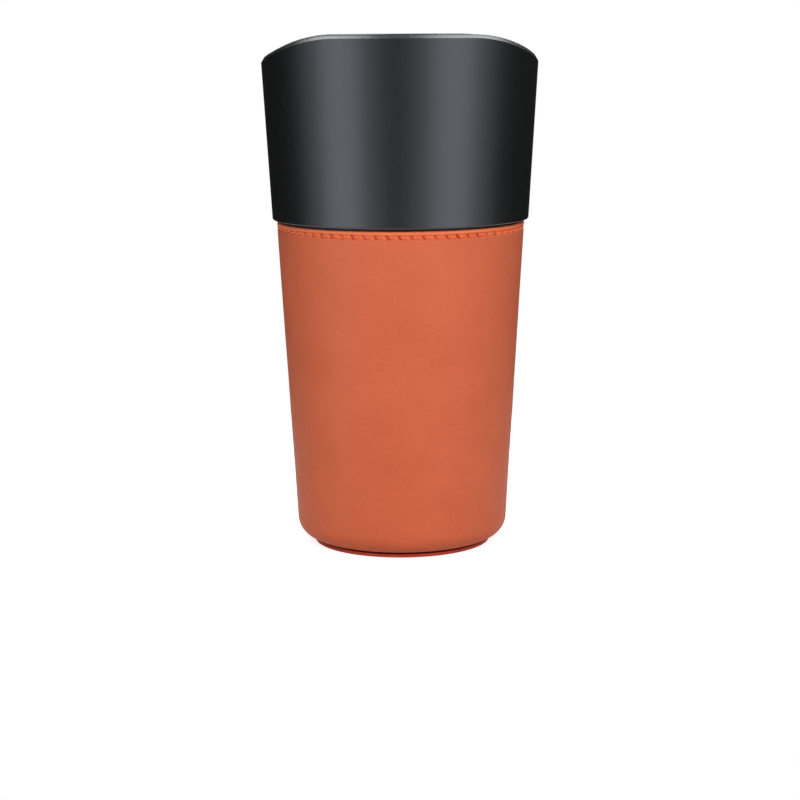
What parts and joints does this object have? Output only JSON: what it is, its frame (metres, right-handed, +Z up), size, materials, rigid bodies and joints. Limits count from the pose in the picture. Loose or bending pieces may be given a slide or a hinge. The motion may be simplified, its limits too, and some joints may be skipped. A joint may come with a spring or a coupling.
{
  "type": "car trash bin",
  "caption": "Tapered cup-shaped car trash bin: a stitched leather sleeve on a moulded cup, and a wide black lift-off collar whose wave-shaped rim holds a swing flap.",
  "frame": {"origin": "middle of the base, on the surface that the bin stands on", "axes": "+Z up along the bin's axis; -Y towards the front, one of the two high sides of the rim; the rim dips at -X and +X"},
  "size_m": [0.0914, 0.0922, 0.17],
  "materials": {
    "cup_plastic": "matte moulded",
    "orange_leather": "smooth, fine grain",
    "thread": "twisted sewing thread",
    "base_leather": "smooth, darker edge paint",
    "satin_black": "satin, painted",
    "flap_black": "satin",
    "pin_steel": "turned"
  },
  "bodies": {
    "can": {"cup": "cup_plastic", "leather_sleeve": "orange_leather", "top_stitching": "thread", "seam_stitching": "thread", "base_disc": "base_leather"},
    "collar": {"collar": "satin_black", "pivot_pin_front": "pin_steel", "pivot_pin_rear": "pin_steel"},
    "flap": {"swing_flap": "flap_black"}
  },
  "joints": [
    {"name": "collar_lift", "type": "slide", "parent": "can", "child": "collar", "axis": [0, 0, 1], "range_m": [0, 0.04]},
    {"name": "flap_swing", "type": "hinge", "parent": "collar", "child": "flap", "pos_m": [0, 0, 0.163], "axis": [0, 1, 0], "range_deg": [-80, 80]}
  ]
}
